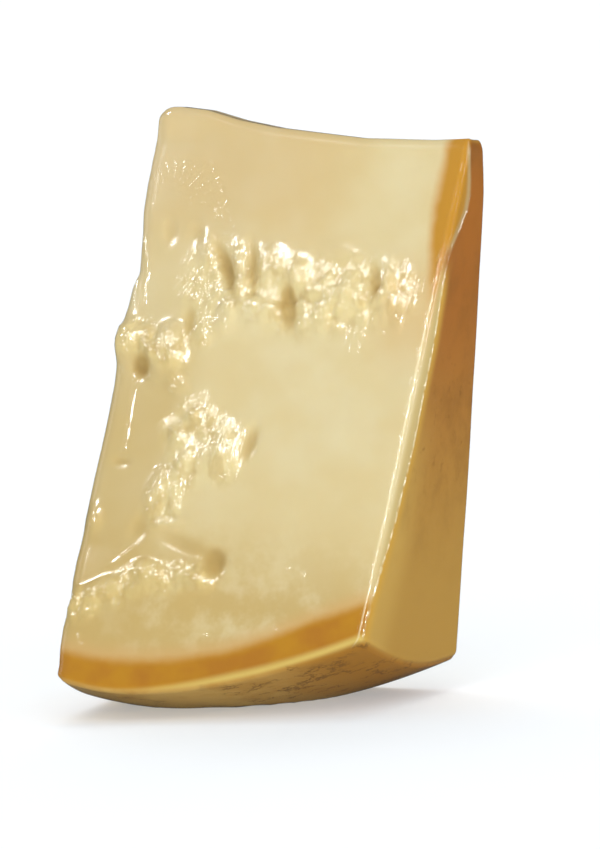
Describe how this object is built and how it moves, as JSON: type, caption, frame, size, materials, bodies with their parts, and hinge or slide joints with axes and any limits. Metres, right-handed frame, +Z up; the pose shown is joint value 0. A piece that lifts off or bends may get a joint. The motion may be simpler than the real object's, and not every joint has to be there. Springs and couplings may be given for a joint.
{
  "type": "parmesan cheese chunk",
  "caption": "Wedge of hard grating cheese cut from a wheel, craggy paste and golden rind, tightly sealed in clear film, standing on its curved rind.",
  "frame": {"origin": "centre of the bounding box, on the surface that the chunk stands on", "axes": "+Z up from the curved rind to the thin tip, +X towards the flat rind, -Y towards the craggy front face"},
  "size_m": [0.1396, 0.1032, 0.1884],
  "materials": {
    "cheese": "pale straw paste, waxy, darker golden brown on the rind",
    "film": "clear, tight and glossy, with fine creases"
  },
  "bodies": {
    "root": {"parmesan_chunk": "cheese"}
  },
  "joints": []
}
